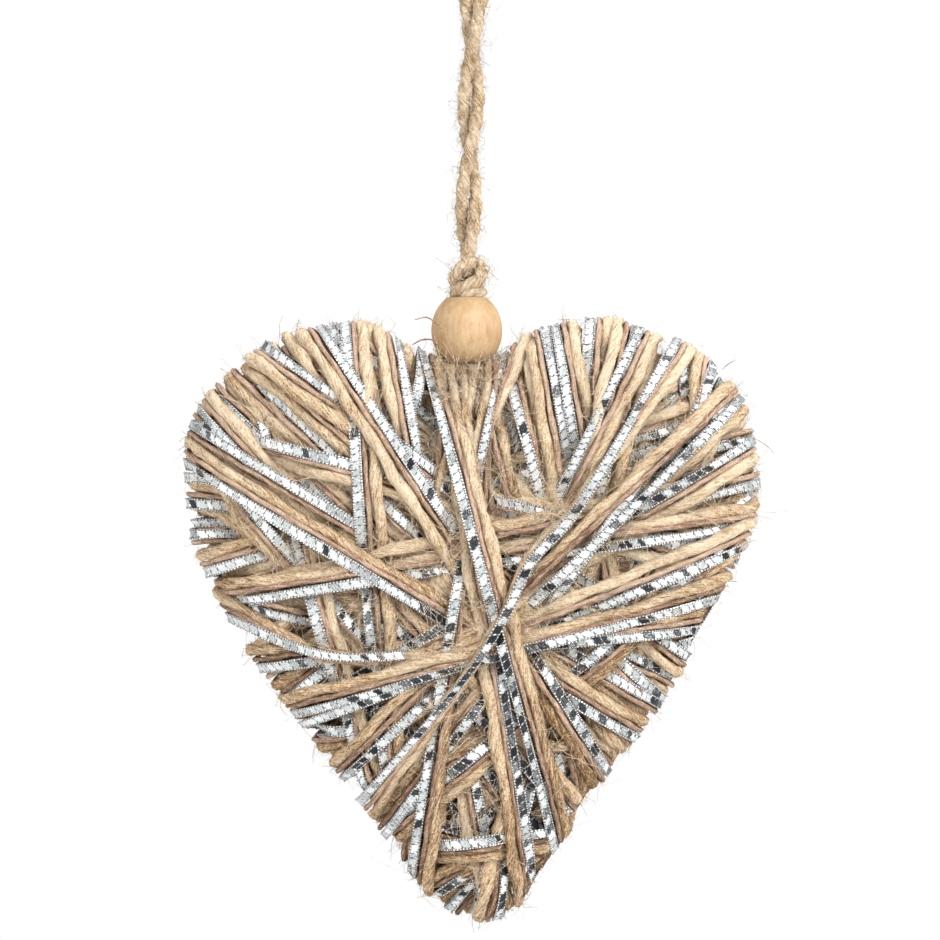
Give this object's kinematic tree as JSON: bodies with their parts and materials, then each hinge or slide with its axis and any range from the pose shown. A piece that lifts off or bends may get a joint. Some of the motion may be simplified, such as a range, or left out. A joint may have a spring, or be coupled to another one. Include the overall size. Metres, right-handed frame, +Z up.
{
  "type": "wound yarn heart ornament",
  "caption": "Hanging heart ornament wound from jute yarn, brown yarn and a flat silver ribbon, with a wooden bead in its cleft and a twisted jute cord loop on top.",
  "frame": {"origin": "top of the hanging loop, where it hangs on its hook", "axes": "+Z up, front face to -Y, +X to the right seen from the front"},
  "size_m": [0.1633, 0.044, 0.2901],
  "materials": {
    "jute": "natural jute yarn",
    "brown_yarn": "matte brown yarn",
    "silver_ribbon": "glittering metallic net ribbon",
    "bead_wood": "turned pale wood, satin",
    "cord": "natural two-ply jute cord"
  },
  "bodies": {
    "root": {"jute_winding": "jute", "brown_yarn": "brown_yarn", "silver_ribbon": "silver_ribbon", "wooden_bead": "bead_wood", "cord_knot": "cord", "hanging_loop": "cord"}
  },
  "joints": []
}
